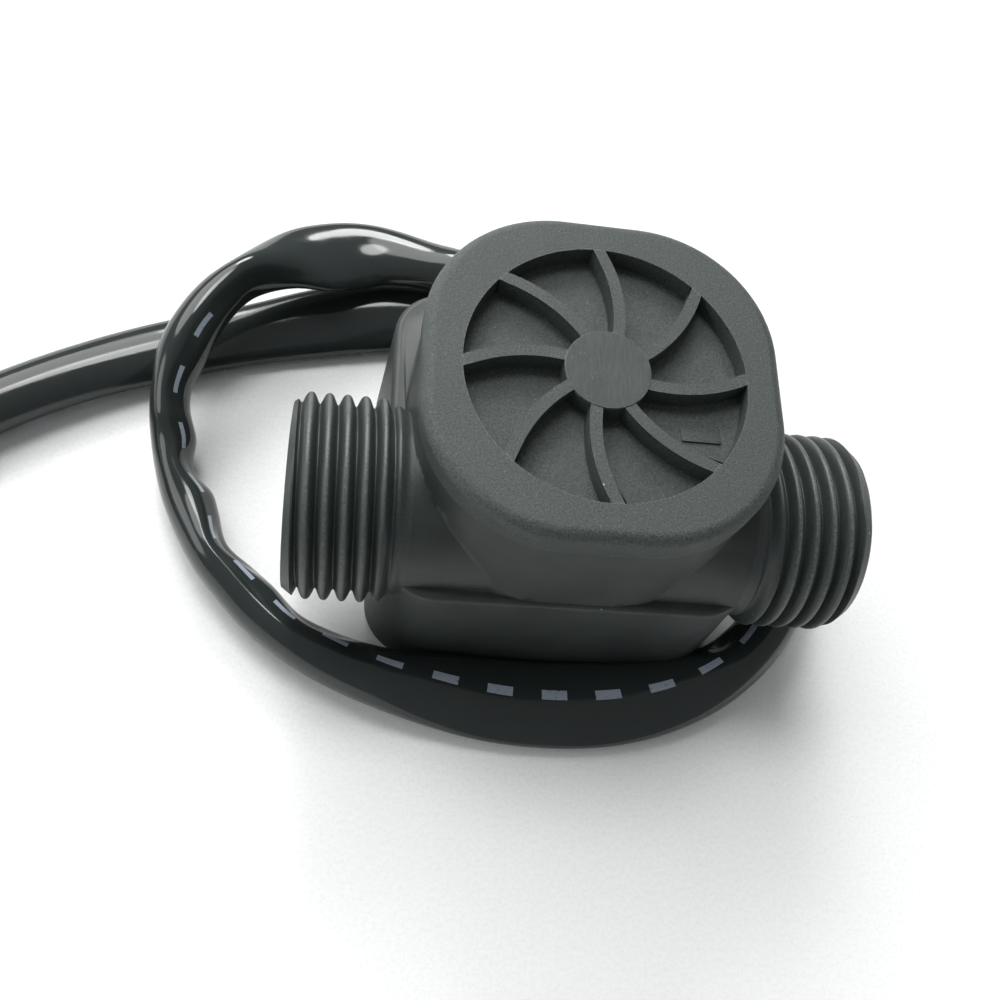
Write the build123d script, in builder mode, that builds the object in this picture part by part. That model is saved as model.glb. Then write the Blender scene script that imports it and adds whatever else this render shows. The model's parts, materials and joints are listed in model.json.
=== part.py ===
"""Water flow sensor with two G1/2 male ports, a pinwheel cap and a sleeved three-wire lead.

Frame: millimetres, +Z up, X along the pipe, -Y the front.  The origin is on the
rotor's axis at the underside of the base, where the sensor stands on a table.
"""
from build123d import *
from math import pi, radians, tan
import os

os.makedirs("parts", exist_ok=True)

# Ports: a straight pipe along X, set in front of the rotor so the jet drives it
body_length = 58.2
port_axis_height = 17.3
port_axis_offset = 7.7
thread_diameter = 20.955
thread_length = 10.4
thread_lead_in = 1.0
thread_run_out = 1.9
neck_diameter = 18.6
bore_diameter = 12.4
bore_depth = 11.7
jet_diameter = 8.4

# Base box: drafted, open underneath for the board
base_height = 17.8
base_top_width, base_top_depth, base_top_corner = 38.6, 36.4, 5.5
base_draft = 3.2
base_top_edge = 0.7

# Column that rises from the base to the cap
column_top = 30.2
column_top_side, column_top_corner = 34.6, 13.5
column_draft = 2.3

# Wet chamber inside the column
chamber_diameter = 29.2
chamber_floor = 13.0
floor_thickness = 1.8

# Dry bay under the chamber, its cover and its screws
bay_side_wall, bay_end_wall = 4.7, 4.2
cover_margin = 1.9
cover_corner = 4.6
cover_thickness = 2.4
cover_fit = 0.15
seal_thickness = 0.8
screw_inset = 5.2
post_diameter = 6.6
screw_diameter, screw_length = 2.4, 8.0
screw_head_diameter, screw_head_height = 4.6, 1.5
screw_head_sink = 0.1
screw_hole_play = 0.15
screw_tip_room = 0.6
thread_fit = 0.05

# Pinwheel cap
cap_side = 35.0
cap_corner = 13.7
cap_height = 3.8
cap_edge = 1.3
cap_lower_edge = 0.35
recess_diameter = 27.6
recess_depth = 2.2
cap_plate = 2.0
emblem_hub_diameter = 8.4
spoke_count = 8
spoke_width = 1.2
spoke_first_angle = 2.0
spoke_sweep = 22.0
spoke_bow = 1.2
spigot_length = 2.6
spigot_wall = 1.8
spigot_fit = 0.1
ring_section = 1.24
ring_play = 0.03

# Rotor on its steel axle
axle_diameter = 2.0
axle_seat_play = 0.02
axle_boss_diameter = 5.2
axle_boss_height = 1.0
axle_seat_depth = 2.0
axle_chamfer = 0.2
washer_thickness = 0.4
washer_play = 0.1
rotor_end_play = 0.1
rotor_top_play = 0.3
rotor_diameter = 27.2
rotor_hub_diameter = 6.6
bush_wall = 0.85
bush_play = 0.05
press_play = 0.01
disc_rise = 0.4
disc_thickness = 1.4
blade_count = 8
blade_thickness = 1.2
blade_height = 8.2
blade_sweep = 16.0
blade_bow = 0.9
blade_tip_gap = 0.4
magnet_diameter, magnet_thickness = 4.0, 1.0
magnet_circle = 19.0
magnet_count = 2

# Sensor board and what sits on it
board_thickness = 1.2
board_side_gap, board_front_gap, board_back_gap = 4.6, 7.5, 2.5
standoff_height = 2.0
standoff_diameter = 2.4
standoff_inset = 2.0
chip_width, chip_depth, chip_height = 4.0, 3.0, 1.6
pickup_angle = 45.0
capacitor_width, capacitor_depth, capacitor_height = 3.2, 1.6, 1.4
resistor_width, resistor_depth, resistor_height = 2.0, 1.25, 0.6
potting_depth = 2.4
potting_fit = 0.05
lead_diameter = 1.1
lead_spacing = 1.5
lead_reach = 4.5

# Sleeved lead: a soft tube over three wires that ends in a three-way socket
sleeve_diameter = 6.2
sleeve_hole_play = 0.1
sleeve_bend_share = 0.45
exit_x, exit_height = -4.5, 10.0
wire_diameter = 1.3
wire_spacing = 1.45
wire_straight, wire_slant, wire_tail = 4.5, 5.0, 4.5
socket_pitch = 2.54
socket_width, socket_height, socket_length = 9.8, 6.4, 13.0
socket_corner = 0.7
socket_front_wall = 1.0
socket_window = 1.2
cavity_side = 2.0
terminal_fit = 0.05
terminal_length = 7.0
terminal_bore = 0.9

# Points that guide the sleeve, from inside the base's back wall round the front of the
# sensor, round its back again and off to the left; the last points lie on the table
sleeve_points = [
    (exit_x, 15.2, exit_height),
    (exit_x, 21.2, exit_height),
    (-8.0, 26.2, 9.6),
    (-14.8, 29.7, 8.8),
    (-23.2, 31.0, 8.4),
    (-31.0, 28.0, 8.9),
    (-37.6, 21.6, 9.9),
    (-41.8, 13.4, 9.6),
    (-43.7, 4.7, 5.4),
    (-40.8, -4.7, 3.11),
    (-34.0, -13.3, 3.11),
    (-24.8, -19.6, 3.11),
    (-14.0, -23.6, 3.11),
    (-2.2, -25.6, 3.11),
    (9.6, -25.0, 3.11),
    (20.4, -20.8, 3.11),
    (28.4, -13.0, 3.11),
    (32.2, -2.6, 3.11),
    (30.8, 8.6, 3.11),
    (24.6, 18.0, 3.11),
    (14.6, 23.8, 3.11),
    (2.0, 25.9, 3.11),
    (-12.0, 25.6, 3.11),
    (-27.0, 23.0, 3.11),
    (-42.0, 18.3, 3.11),
    (-56.0, 12.0, 3.11),
    (-68.4, 3.8, 3.11),
    (-78.5, -7.3, 3.11),
    (-86.6, -19.6, 3.11),
]

# Heights and radii that follow
half_length = body_length / 2
thread_radius = thread_diameter / 2
neck_half = half_length - thread_length
full_thread_half = neck_half + thread_run_out
base_spread = 2 * base_height * tan(radians(base_draft))
base_foot_width = base_top_width + base_spread
base_foot_depth = base_top_depth + base_spread
base_foot_corner = base_top_corner + base_spread / 2
column_height = column_top - base_height
column_spread = 2 * column_height * tan(radians(column_draft))
column_foot_side = column_top_side + column_spread
bay_width = base_foot_width - 2 * bay_side_wall
bay_depth = base_foot_depth - 2 * bay_end_wall
bay_ceiling = chamber_floor - floor_thickness
ledge_height = cover_thickness + seal_thickness
screw_head_top = screw_head_sink + screw_head_height
cap_base = column_top
cap_top = cap_base + cap_height
recess_floor = cap_top - recess_depth
cap_underside = recess_floor - cap_plate
chamber_radius = chamber_diameter / 2
spigot_radius = chamber_radius - spigot_fit
boss_top = chamber_floor + axle_boss_height
rotor_bottom = boss_top + washer_thickness + rotor_end_play
spigot_bottom = cap_base - spigot_length
rotor_top = spigot_bottom - rotor_top_play
cap_boss_bottom = rotor_top + rotor_top_play + washer_thickness
board_width = bay_width - 2 * board_side_gap
board_depth = bay_depth - board_front_gap - board_back_gap
board_centre_y = (board_front_gap - board_back_gap) / 2
board_top = bay_ceiling - standoff_height
board_bottom = board_top - board_thickness
screw_places = GridLocations(base_foot_width - 2 * screw_inset, base_foot_depth - 2 * screw_inset, 2, 2)


def ring_of(count, start=0.0):
    """Angles of evenly spaced copies, in degrees."""
    return [start + 360.0 * i / count for i in range(count)]


def swept_spoke(inner_radius, outer_radius, end_angle, sweep, bow):
    """Three points of a spoke's centre arc, which bows against its sweep."""
    start = Vector(inner_radius, 0).rotate(Axis.Z, end_angle - sweep)
    end = Vector(outer_radius, 0).rotate(Axis.Z, end_angle)
    chord = end - start
    side = Vector(chord.Y, -chord.X).normalized()
    return start, (start + end) / 2 + side * bow, end


# Bay outline with the four screw posts left standing in its corners
with BuildSketch() as bay_outline:
    Rectangle(bay_width, bay_depth)
    with screw_places:
        Circle(post_diameter / 2, mode=Mode.SUBTRACT)

# Housing: ports, necks, base and column in one moulding
with BuildPart() as main_housing:
    with BuildSketch():
        RectangleRounded(base_foot_width, base_foot_depth, base_foot_corner)
    extrude(amount=base_height, taper=base_draft)
    fillet(main_housing.faces().sort_by(Axis.Z)[-1].edges(), base_top_edge)
    with BuildSketch(Plane.XY.offset(base_height)):
        RectangleRounded(column_foot_side, column_foot_side, column_top_corner + column_spread / 2)
    with BuildSketch(Plane.XY.offset(column_top)):
        RectangleRounded(column_top_side, column_top_side, column_top_corner)
    loft(ruled=True)

    # pipe profile turned about the port axis: thread bands at both ends, which run out
    # into the neck between them clear of the base's sides
    with BuildSketch(Plane.XZ.offset(port_axis_offset)) as pipe_profile:
        with BuildLine():
            Polyline(
                (-half_length, port_axis_height),
                (-half_length, port_axis_height + thread_radius - thread_lead_in),
                (-half_length + thread_lead_in, port_axis_height + thread_radius),
                (-full_thread_half, port_axis_height + thread_radius),
                (-neck_half, port_axis_height + neck_diameter / 2),
                (neck_half, port_axis_height + neck_diameter / 2),
                (full_thread_half, port_axis_height + thread_radius),
                (half_length - thread_lead_in, port_axis_height + thread_radius),
                (half_length, port_axis_height + thread_radius - thread_lead_in),
                (half_length, port_axis_height),
                close=True,
            )
        make_face()
    revolve(axis=Axis((0, -port_axis_offset, port_axis_height), (1, 0, 0)))

    # wet chamber, open at the top, with the axle's boss on its floor
    with BuildSketch(Plane.XY.offset(chamber_floor)):
        Circle(chamber_radius)
    extrude(amount=column_top - chamber_floor, mode=Mode.SUBTRACT)
    with BuildSketch(Plane.XY.offset(chamber_floor)):
        Circle(axle_boss_diameter / 2)
    extrude(amount=axle_boss_height)
    with BuildSketch(Plane.XY.offset(boss_top)):
        Circle(axle_diameter / 2 + axle_seat_play)
    extrude(amount=-axle_seat_depth, mode=Mode.SUBTRACT)

    # wide bores from both mouths, and the narrower jet that crosses the chamber's side
    for end in (-1, 1):
        with BuildSketch(Plane((end * half_length, -port_axis_offset, port_axis_height), z_dir=(-end, 0, 0))):
            Circle(bore_diameter / 2)
        extrude(amount=bore_depth, mode=Mode.SUBTRACT)
        with BuildSketch(Plane((end * half_length, -port_axis_offset, port_axis_height), z_dir=(-end, 0, 0))):
            Circle(jet_diameter / 2)
        extrude(amount=half_length - chamber_radius / 2, mode=Mode.SUBTRACT)

    # dry bay, the seat for its cover, and the board's standoffs
    add(bay_outline.sketch)
    extrude(amount=bay_ceiling, mode=Mode.SUBTRACT)
    with BuildSketch():
        RectangleRounded(base_foot_width - 2 * cover_margin, base_foot_depth - 2 * cover_margin, cover_corner)
    extrude(amount=ledge_height, mode=Mode.SUBTRACT)
    with BuildSketch(Plane.XY.offset(bay_ceiling)):
        with Locations((0, board_centre_y)):
            with GridLocations(board_width - 2 * standoff_inset, board_depth - 2 * standoff_inset, 2, 2):
                Circle(standoff_diameter / 2)
    extrude(amount=-standoff_height)

    # screw holes in the corner posts and the hole for the sleeve
    with BuildSketch(Plane.XY.offset(ledge_height)):
        with screw_places:
            Circle(screw_diameter / 2 + thread_fit)
    extrude(amount=screw_head_top + screw_length + screw_tip_room - ledge_height, mode=Mode.SUBTRACT)
    with BuildSketch(Plane.XZ.offset(-base_foot_depth / 2)):
        with Locations((exit_x, exit_height)):
            Circle(sleeve_diameter / 2 + sleeve_hole_play)
    extrude(amount=(base_foot_depth - bay_depth) / 2, mode=Mode.SUBTRACT)
main_housing.part.label = "main_housing"
export_step(main_housing.part, "parts/main_housing.step")

# Cap: rounded square lid whose relief is a pinwheel of bowed spokes round a plain hub
with BuildPart() as pinwheel_cap:
    with BuildSketch(Plane.XY.offset(cap_base)):
        RectangleRounded(cap_side, cap_side, cap_corner)
    extrude(amount=cap_height)
    fillet(pinwheel_cap.faces().sort_by(Axis.Z)[-1].edges(), cap_edge)
    chamfer(pinwheel_cap.faces().sort_by(Axis.Z)[0].edges(), cap_lower_edge)
    with BuildSketch(Plane.XY.offset(recess_floor)):
        Circle(recess_diameter / 2)
    extrude(amount=recess_depth, mode=Mode.SUBTRACT)
    with BuildSketch(Plane.XY.offset(recess_floor)):
        Circle(emblem_hub_diameter / 2)
        for angle in ring_of(spoke_count, spoke_first_angle):
            with BuildLine():
                spoke_arc = ThreePointArc(
                    *swept_spoke(emblem_hub_diameter / 4, recess_diameter / 2, angle, spoke_sweep, spoke_bow)
                )
            trace(spoke_arc, line_width=spoke_width)
    extrude(amount=recess_depth)

    # spigot that enters the chamber, its seal groove, and the axle's upper boss
    with BuildSketch(Plane.XY.offset(spigot_bottom)):
        Circle(spigot_radius)
        Circle(spigot_radius - spigot_wall, mode=Mode.SUBTRACT)
    extrude(amount=spigot_length)
    with BuildSketch(Plane.XY.offset(cap_underside)):
        Circle(spigot_radius)
    extrude(amount=cap_base - cap_underside)
    groove_middle = (spigot_bottom + cap_underside) / 2
    with BuildSketch(Plane.XZ):
        with Locations((spigot_radius, groove_middle)):
            Rectangle(2 * (ring_section + ring_play), ring_section + 4 * ring_play)
    revolve(axis=Axis.Z, mode=Mode.SUBTRACT)
    with BuildSketch(Plane.XY.offset(cap_underside)):
        Circle(axle_boss_diameter / 2)
    extrude(amount=cap_boss_bottom - cap_underside)
    with BuildSketch(Plane.XY.offset(cap_boss_bottom)):
        Circle(axle_diameter / 2 + axle_seat_play)
    extrude(amount=cap_underside - cap_boss_bottom + cap_plate / 2, mode=Mode.SUBTRACT)
pinwheel_cap.part.label = "pinwheel_cap"
export_step(pinwheel_cap.part, "parts/pinwheel_cap.step")

# Square rubber ring in the spigot's groove
with BuildPart() as cap_seal:
    with BuildSketch(Plane.XZ):
        with Locations((spigot_radius - ring_section / 2, groove_middle)):
            Rectangle(ring_section, ring_section)
    revolve(axis=Axis.Z)
cap_seal.part.label = "cap_seal"
export_step(cap_seal.part, "parts/cap_seal.step")

# Rotor: hub, disc that carries the magnets, and swept blades
hub_radius = rotor_hub_diameter / 2
disc_bottom = rotor_bottom + disc_rise
magnet_places = PolarLocations(magnet_circle / 2, magnet_count)
with BuildPart() as rotor:
    with BuildSketch(Plane.XY.offset(rotor_bottom)):
        Circle(hub_radius)
    extrude(amount=rotor_top - rotor_bottom)
    with BuildSketch(Plane.XY.offset(disc_bottom)):
        Circle(rotor_diameter / 2)
    extrude(amount=disc_thickness)
    with BuildSketch(Plane.XY.offset(disc_bottom)):
        for angle in ring_of(blade_count):
            with BuildLine():
                blade_arc = ThreePointArc(
                    *swept_spoke(hub_radius / 2, rotor_diameter / 2 - blade_tip_gap, angle, blade_sweep, blade_bow)
                )
            trace(blade_arc, line_width=blade_thickness)
    extrude(amount=disc_thickness + blade_height)
    with BuildSketch(Plane.XY.offset(rotor_bottom)):
        Circle(axle_diameter / 2 + bush_play + bush_wall + press_play)
    extrude(amount=rotor_top - rotor_bottom, mode=Mode.SUBTRACT)
    with BuildSketch(Plane.XY.offset(disc_bottom)):
        with magnet_places:
            Circle(magnet_diameter / 2 + press_play)
    extrude(amount=magnet_thickness + press_play, mode=Mode.SUBTRACT)
rotor.part.label = "rotor"
export_step(rotor.part, "parts/rotor.step")

for number, place in enumerate(magnet_places, start=1):
    with BuildPart() as rotor_magnet:
        with BuildSketch(Plane.XY.offset(disc_bottom)):
            with Locations(place):
                Circle(magnet_diameter / 2)
        extrude(amount=magnet_thickness)
    rotor_magnet.part.label = f"rotor_magnet_{number}"
    export_step(rotor_magnet.part, f"parts/rotor_magnet_{number}.step")

with BuildPart() as rotor_bush:
    with BuildSketch(Plane.XY.offset(rotor_bottom)):
        Circle(axle_diameter / 2 + bush_play + bush_wall)
        Circle(axle_diameter / 2 + bush_play, mode=Mode.SUBTRACT)
    extrude(amount=rotor_top - rotor_bottom)
rotor_bush.part.label = "rotor_bush"
export_step(rotor_bush.part, "parts/rotor_bush.step")

# Axle between the floor's boss and the cap's boss, with a washer at each end
axle_bottom = boss_top - axle_seat_depth
axle_top = cap_underside + cap_plate / 2
with BuildPart() as rotor_axle:
    with BuildSketch(Plane.XY.offset(axle_bottom)):
        Circle(axle_diameter / 2)
    extrude(amount=axle_top - axle_bottom)
    chamfer(rotor_axle.edges().filter_by(GeomType.CIRCLE), axle_chamfer)
rotor_axle.part.label = "rotor_axle"
export_step(rotor_axle.part, "parts/rotor_axle.step")

for washer_name, washer_height in (("lower_washer", boss_top), ("upper_washer", cap_boss_bottom - washer_thickness)):
    with BuildPart() as washer:
        with BuildSketch(Plane.XY.offset(washer_height)):
            Circle(axle_boss_diameter / 2)
            Circle(axle_diameter / 2 + washer_play, mode=Mode.SUBTRACT)
        extrude(amount=washer_thickness)
    washer.part.label = washer_name
    export_step(washer.part, f"parts/{washer_name}.step")

# Bottom cover, flush with the base's foot, with sunk screw heads
cover_width = base_foot_width - 2 * cover_margin - 2 * cover_fit
cover_depth = base_foot_depth - 2 * cover_margin - 2 * cover_fit
with BuildPart() as bottom_cover:
    with BuildSketch():
        RectangleRounded(cover_width, cover_depth, cover_corner)
    extrude(amount=cover_thickness)
    with BuildSketch():
        with screw_places:
            Circle(screw_head_diameter / 2 + screw_hole_play)
    extrude(amount=screw_head_top, mode=Mode.SUBTRACT)
    with BuildSketch():
        with screw_places:
            Circle(screw_diameter / 2 + screw_hole_play)
    extrude(amount=cover_thickness, mode=Mode.SUBTRACT)
bottom_cover.part.label = "bottom_cover"
export_step(bottom_cover.part, "parts/bottom_cover.step")

# Flat gasket between the cover and the ledge of the base
with BuildPart() as cover_seal:
    with BuildSketch(Plane.XY.offset(cover_thickness)):
        RectangleRounded(cover_width, cover_depth, cover_corner)
        add(bay_outline.sketch, mode=Mode.SUBTRACT)
        with screw_places:
            Circle(screw_diameter / 2 + screw_hole_play, mode=Mode.SUBTRACT)
    extrude(amount=seal_thickness)
cover_seal.part.label = "cover_seal"
export_step(cover_seal.part, "parts/cover_seal.step")

for number, place in enumerate(screw_places, start=1):
    with BuildPart() as cover_screw:
        with BuildSketch(Plane.XY.offset(screw_head_sink)):
            with Locations(place):
                Circle(screw_head_diameter / 2)
        extrude(amount=screw_head_height)
        with BuildSketch(Plane.XY.offset(screw_head_top)):
            with Locations(place):
                Circle(screw_diameter / 2)
        extrude(amount=screw_length)
    cover_screw.part.label = f"cover_screw_{number}"
    export_step(cover_screw.part, f"parts/cover_screw_{number}.step")

# Board against the standoffs, with the magnetic pickup under the magnets' circle
with BuildPart() as sensor_board:
    with BuildSketch(Plane.XY.offset(board_bottom)):
        with Locations((0, board_centre_y)):
            Rectangle(board_width, board_depth)
    extrude(amount=board_thickness)
sensor_board.part.label = "sensor_board"
export_step(sensor_board.part, "parts/sensor_board.step")

pickup_place = Vector(magnet_circle / 2, 0).rotate(Axis.Z, pickup_angle)
board_pieces = (
    ("pickup_chip", (pickup_place.X, pickup_place.Y), (chip_width, chip_depth, chip_height)),
    ("board_capacitor", (board_width / 4, 0), (capacitor_width, capacitor_depth, capacitor_height)),
    ("board_resistor", (board_width / 4, board_depth / 6), (resistor_width, resistor_depth, resistor_height)),
)
for piece_name, piece_place, piece_size in board_pieces:
    with BuildPart() as board_piece:
        with BuildSketch(Plane.XY.offset(board_top)):
            with Locations(piece_place):
                Rectangle(piece_size[0], piece_size[1])
        extrude(amount=piece_size[2])
    board_piece.part.label = piece_name
    export_step(board_piece.part, f"parts/{piece_name}.step")

# Sealing compound poured over the board's open side
with BuildPart() as potting_fill:
    with BuildSketch(Plane.XY.offset(board_bottom)) as potting_outline:
        add(bay_outline.sketch)
        offset(amount=-potting_fit, mode=Mode.REPLACE)
    extrude(amount=-potting_depth)
potting_fill.part.label = "potting_fill"
export_step(potting_fill.part, "parts/potting_fill.step")

# Inner ends of the three wires, which lie on the board and meet the sleeve's end
lead_start = Vector(*sleeve_points[0]).Y
for lead_number, lead_name in enumerate(("supply_lead", "signal_lead", "ground_lead")):
    with BuildPart() as inner_lead:
        with BuildSketch(Plane.XZ.offset(-lead_start)):
            with Locations((exit_x + (lead_number - 1) * lead_spacing, board_top + lead_diameter / 2)):
                Circle(lead_diameter / 2)
        extrude(amount=lead_reach)
    inner_lead.part.label = lead_name
    export_step(inner_lead.part, f"parts/{lead_name}.step")


def bend_radii(points, share=sleeve_bend_share):
    """Largest arc that the two runs beside each inner point allow."""
    radii = []
    for before, point, after in zip(points, points[1:], points[2:]):
        run_in = Vector(*point) - Vector(*before)
        run_out = Vector(*after) - Vector(*point)
        half_turn = radians(run_in.get_angle(run_out)) / 2
        radii.append(share * min(run_in.length, run_out.length) / tan(half_turn))
    return radii


# Sleeve: straight runs joined by tangent arcs
sleeve_radii = bend_radii(sleeve_points)
first_run = Vector(*sleeve_points[1]) - Vector(*sleeve_points[0])
with BuildPart() as cable_sleeve:
    with BuildLine() as sleeve_path:
        FilletPolyline(*sleeve_points, radius=sleeve_radii)
    with BuildSketch(Plane(sleeve_points[0], z_dir=first_run)):
        Circle(sleeve_diameter / 2)
    sweep(path=sleeve_path.wire())
cable_sleeve.part.label = "cable_sleeve"
export_step(cable_sleeve.part, "parts/cable_sleeve.step")
print("sleeve radii", [round(radius, 1) for radius in sleeve_radii])
sleeve_length = sleeve_path.wire().length
sleeve_section = pi * sleeve_diameter**2 / 4
print("sleeve length", round(sleeve_length, 1), "section x length", round(sleeve_section * sleeve_length, 1))
print("sleeve volume", round(cable_sleeve.part.volume, 1))

# Plane at the sleeve's far end: Z onwards along the lead, Y upright
last_point = Vector(*sleeve_points[-1])
last_run = (last_point - Vector(*sleeve_points[-2])).normalized()
end_plane = Plane(last_point, x_dir=Vector(-last_run.Y, last_run.X, 0), z_dir=last_run)

# Three bare wires fan out from the sleeve to the pitch of the socket
wire_free_length = wire_straight + wire_slant + wire_tail
cavity_depth = socket_length - socket_front_wall
wire_end = wire_free_length + cavity_depth - terminal_length
ways = (("supply_wire", "supply_terminal", -1), ("signal_wire", "signal_terminal", 0), ("ground_wire", "ground_terminal", 1))
for wire_name, terminal_name, way in ways:
    wire_start = end_plane.from_local_coords(Vector(way * wire_spacing, 0, 0))
    with BuildPart() as tail_wire:
        with BuildLine() as wire_path:
            if way == 0:
                Line(wire_start, end_plane.from_local_coords(Vector(0, 0, wire_end)))
            else:
                corners = [
                    Vector(way * wire_spacing, 0, 0),
                    Vector(way * wire_spacing, 0, wire_straight),
                    Vector(way * socket_pitch, 0, wire_straight + wire_slant),
                    Vector(way * socket_pitch, 0, wire_end),
                ]
                corners = [end_plane.from_local_coords(corner) for corner in corners]
                FilletPolyline(*corners, radius=bend_radii(corners))
        with BuildSketch(Plane(wire_start, z_dir=last_run)):
            Circle(wire_diameter / 2)
        sweep(path=wire_path.wire())
    tail_wire.part.label = wire_name
    export_step(tail_wire.part, f"parts/{wire_name}.step")

    # contact pushed in from the back up to the socket's front wall
    with BuildPart() as terminal:
        with BuildSketch(end_plane.offset(wire_end)):
            with Locations((way * socket_pitch, 0)):
                Rectangle(cavity_side - 2 * terminal_fit, cavity_side - 2 * terminal_fit)
        extrude(amount=terminal_length)
        with BuildSketch(end_plane.offset(wire_end + terminal_length)):
            with Locations((way * socket_pitch, 0)):
                Circle(terminal_bore / 2)
        extrude(amount=-terminal_length * 2 / 3, mode=Mode.SUBTRACT)
    terminal.part.label = terminal_name
    export_step(terminal.part, f"parts/{terminal_name}.step")

# Socket housing with a cavity and a window for each way
with BuildPart() as socket_housing:
    with BuildSketch(end_plane.offset(wire_free_length)):
        RectangleRounded(socket_width, socket_height, socket_corner)
    extrude(amount=socket_length)
    with BuildSketch(end_plane.offset(wire_free_length)):
        with GridLocations(socket_pitch, 0, 3, 1):
            Rectangle(cavity_side, cavity_side)
    extrude(amount=cavity_depth, mode=Mode.SUBTRACT)
    with BuildSketch(end_plane.offset(wire_free_length)):
        with GridLocations(socket_pitch, 0, 3, 1):
            Rectangle(socket_window, socket_window)
    extrude(amount=socket_length, mode=Mode.SUBTRACT)
socket_housing.part.label = "socket_housing"
export_step(socket_housing.part, "parts/socket_housing.step")
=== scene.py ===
"""Looks of the water flow sensor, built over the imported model, in metres."""

import json
import math
import bpy
from mathutils import Matrix, Vector

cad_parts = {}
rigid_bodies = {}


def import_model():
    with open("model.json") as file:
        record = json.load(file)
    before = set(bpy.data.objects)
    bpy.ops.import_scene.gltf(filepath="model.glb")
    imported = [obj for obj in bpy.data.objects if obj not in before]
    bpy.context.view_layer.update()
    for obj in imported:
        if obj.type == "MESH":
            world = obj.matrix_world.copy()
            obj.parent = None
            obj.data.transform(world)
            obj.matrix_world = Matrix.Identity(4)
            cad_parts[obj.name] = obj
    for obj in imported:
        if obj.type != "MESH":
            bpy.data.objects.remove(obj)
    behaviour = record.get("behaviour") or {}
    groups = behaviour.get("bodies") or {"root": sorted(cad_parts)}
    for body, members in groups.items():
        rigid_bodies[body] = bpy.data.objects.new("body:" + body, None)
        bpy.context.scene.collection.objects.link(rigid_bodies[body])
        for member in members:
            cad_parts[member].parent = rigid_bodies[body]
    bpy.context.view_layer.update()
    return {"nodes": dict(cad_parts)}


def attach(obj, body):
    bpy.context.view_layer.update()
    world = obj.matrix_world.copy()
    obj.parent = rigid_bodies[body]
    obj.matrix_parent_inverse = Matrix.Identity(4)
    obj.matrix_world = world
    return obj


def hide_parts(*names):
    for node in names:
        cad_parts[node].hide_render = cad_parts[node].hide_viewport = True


MM = 0.001
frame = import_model()
nodes = frame["nodes"]
scene = bpy.context.scene
scene.view_settings.view_transform = "Standard"

# Sizes that the pieces share with the model, in millimetres
PORT_AXIS_Y, PORT_AXIS_Z = -7.7, 17.3
MOUTH_X = 29.1
BORE_RADIUS = 6.2
THREAD_PITCH = 1.814
THREAD_ROOT_RADIUS = 9.32
BAND_START_X, BAND_REACH = 18.7, 10.6
CAP_TOP_Z = 34.0
RECESS_FLOOR_Z = 31.8
RECESS_RADIUS = 13.8
HUB_RADIUS = 4.2
SPOKE_TIP_CORNER = (13.4, 13.7)

# Sizes of what is added here, in millimetres
HUB_DISC_RISE, HUB_DISC_THICKNESS, HUB_DISC_OVERHANG = 0.1, 0.6, 0.02
BAR_PLACE, BAR_SIZE = (9.45, -4.7), (3.9, 2.2, 0.2)
BAR_SUNK, BAR_BACK_DIP = 0.2, 0.02
TABLE_GAP = 0.05

# Camera fitted to the photograph: turns in degrees, place and lens in millimetres
CAMERA_YAW, CAMERA_PITCH, CAMERA_ROLL = 20.209, 63.833, 22.612
CAMERA_PLACE = (-24.212, -52.209, 116.17)
CAMERA_SENSOR, CAMERA_LENS = 36.0, 37.91

ROOM_LIGHT = 0.28
# Lamps: name, direction from the object, width in metres, watts; all stand 1 m away
LAMPS = [
    ("back_window", (-0.08, 0.83, 0.55), 0.34, 4.2),
    ("top_window", (-0.10, 0.40, 0.91), 0.32, 2.6),
    ("left_window", (-0.42, 0.57, 0.70), 0.8, 6.8),
    ("left_wall", (-0.90, -0.05, 0.42), 0.6, 2.4),
]
# Extra whiteness of the floor, for the camera alone
FLOOR_GAIN = 0.06


def deselect():
    for other in bpy.context.view_layer.objects:
        other.select_set(False)


def pick(piece):
    """Select one piece alone and make it the active one."""
    deselect()
    piece.select_set(True)
    bpy.context.view_layer.objects.active = piece


def edit(piece, mode="VERT"):
    pick(piece)
    bpy.ops.object.mode_set(mode="EDIT")
    bpy.ops.mesh.select_mode(type=mode)


def edit_all(piece):
    """Open the piece for editing with all of it selected."""
    edit(piece)
    bpy.ops.mesh.select_all(action="SELECT")


def leave():
    bpy.ops.object.mode_set(mode="OBJECT")


def clear_selection(piece):
    mesh = piece.data
    for part in (mesh.vertices, mesh.edges, mesh.polygons):
        part.foreach_set("select", [False] * len(part))


def pick_vertices(piece, test):
    """Select the vertices whose place in millimetres passes a test."""
    clear_selection(piece)
    for vertex in piece.data.vertices:
        vertex.select = test(vertex.co / MM)


def apply_modifiers(piece):
    pick(piece)
    for modifier in list(piece.modifiers):
        bpy.ops.object.modifier_apply(modifier=modifier.name)


def soften(piece, width_mm, segments, degrees=None):
    """Bevel the piece's edges, with an angle only those that are sharper."""
    bevel = piece.modifiers.new("soft_edges", "BEVEL")
    bevel.width = width_mm * MM
    bevel.segments = segments
    bevel.use_clamp_overlap = True
    if degrees:
        bevel.limit_method = "ANGLE"
        bevel.angle_limit = math.radians(degrees)
    apply_modifiers(piece)


def clamp(value):
    return min(1.0, max(0.0, value))


def settle(piece):
    """Put the piece's place into its mesh, as a node of the model has it."""
    pick(piece)
    bpy.ops.object.transform_apply(location=True, rotation=True, scale=True)


def smooth(piece, degrees=32):
    pick(piece)
    bpy.ops.object.shade_smooth_by_angle(angle=math.radians(degrees))


def even_shading(piece):
    """Shade by the large faces, so that fillets and flats meet without streaks."""
    weights = piece.modifiers.new("face_weights", "WEIGHTED_NORMAL")
    weights.keep_sharp = True
    weights.weight = 80
    apply_modifiers(piece)


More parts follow.
